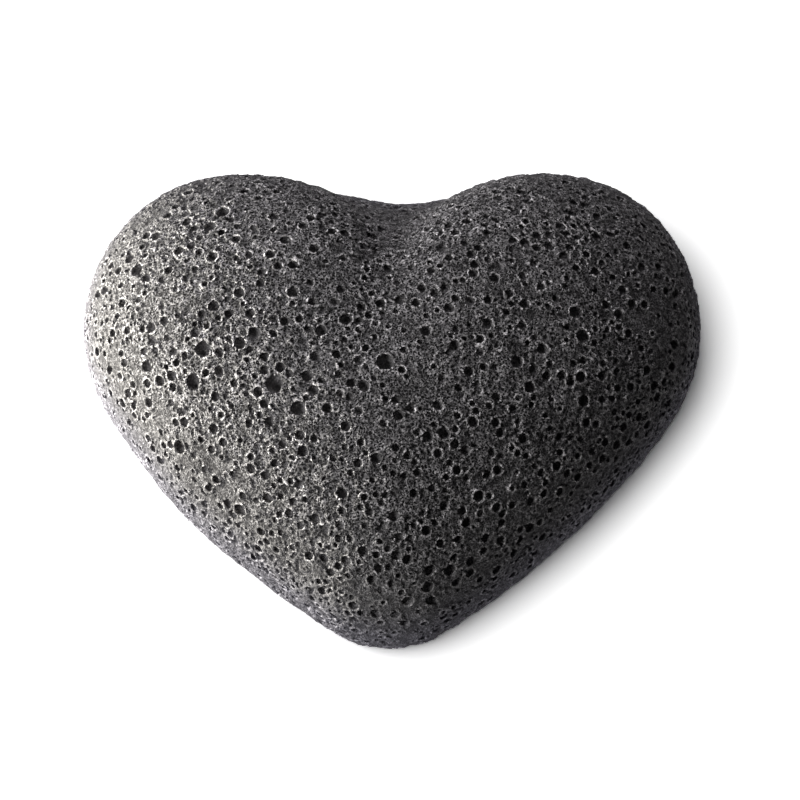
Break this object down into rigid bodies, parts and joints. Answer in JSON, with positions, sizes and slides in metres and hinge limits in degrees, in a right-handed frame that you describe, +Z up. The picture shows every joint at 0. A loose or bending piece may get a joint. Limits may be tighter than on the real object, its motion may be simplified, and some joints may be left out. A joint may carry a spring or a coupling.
{
  "type": "konjac sponge",
  "caption": "Heart-shaped konjac foam sponge with a flat base, crowned top, soft cleft between the lobes and open surface cells, for washing the face.",
  "frame": {"origin": "on the flat base, under the crown, at the middle of the outline", "axes": "+X across the two lobes, +Y from the tip towards the lobes, +Z up from the flat base to the crown"},
  "size_m": [0.08, 0.063, 0.028],
  "materials": {
    "foam": "matte charcoal-grey open-celled konjac foam, dry, with a fine rough speckle between the cells"
  },
  "bodies": {
    "root": {"sponge_body": "foam"}
  },
  "joints": []
}
